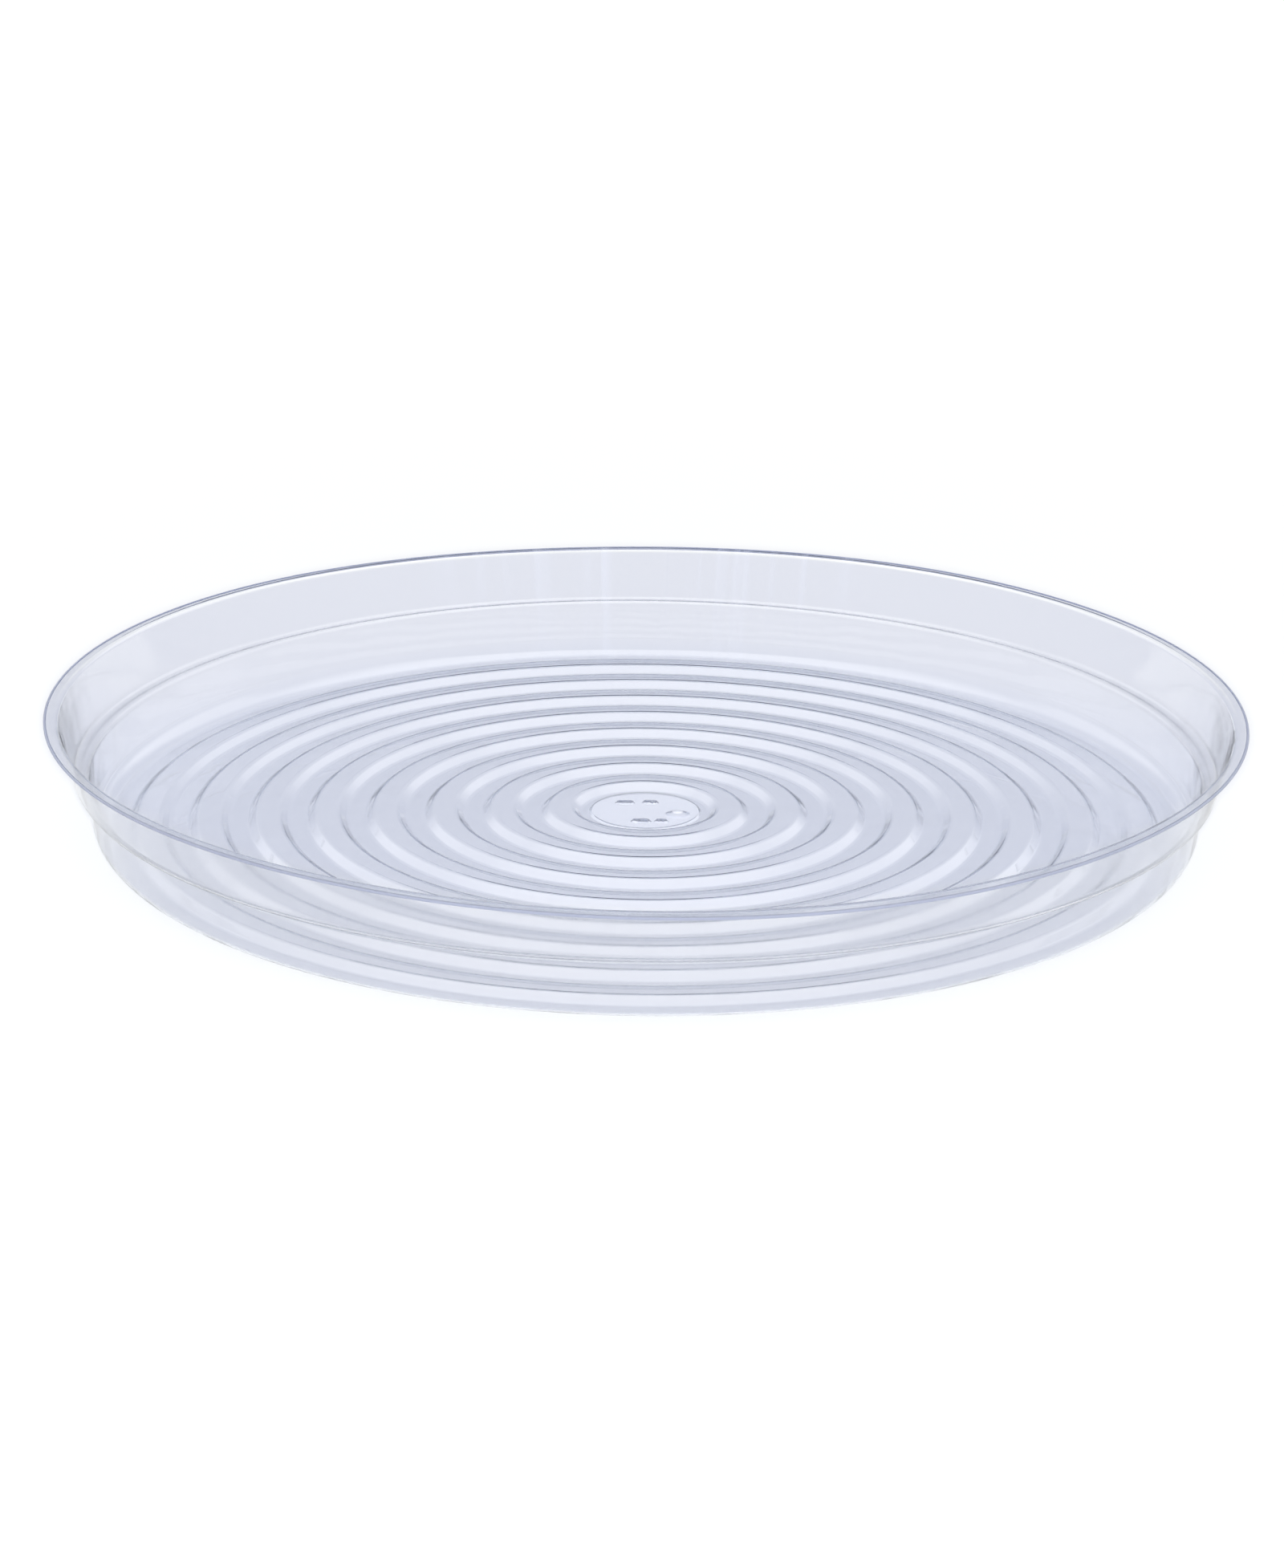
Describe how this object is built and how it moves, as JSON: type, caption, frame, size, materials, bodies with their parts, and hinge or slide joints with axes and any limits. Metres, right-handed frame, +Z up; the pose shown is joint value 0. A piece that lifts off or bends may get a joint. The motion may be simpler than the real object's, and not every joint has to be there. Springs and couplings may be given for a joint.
{
  "type": "plant saucer",
  "caption": "Round shallow clear plastic saucer that catches water under a plant pot, with a flat rim, a stacking ledge in the wall and a ringed floor.",
  "frame": {"origin": "centre of the circle that the saucer stands on, level with the ground", "axes": "+Z up along the saucer's axis, out of the dish; -Y towards the front"},
  "size_m": [0.4284, 0.4284, 0.0435],
  "materials": {
    "clear_plastic": "clear gloss, slightly lavender-blue"
  },
  "bodies": {
    "root": {"saucer": "clear_plastic"}
  },
  "joints": []
}
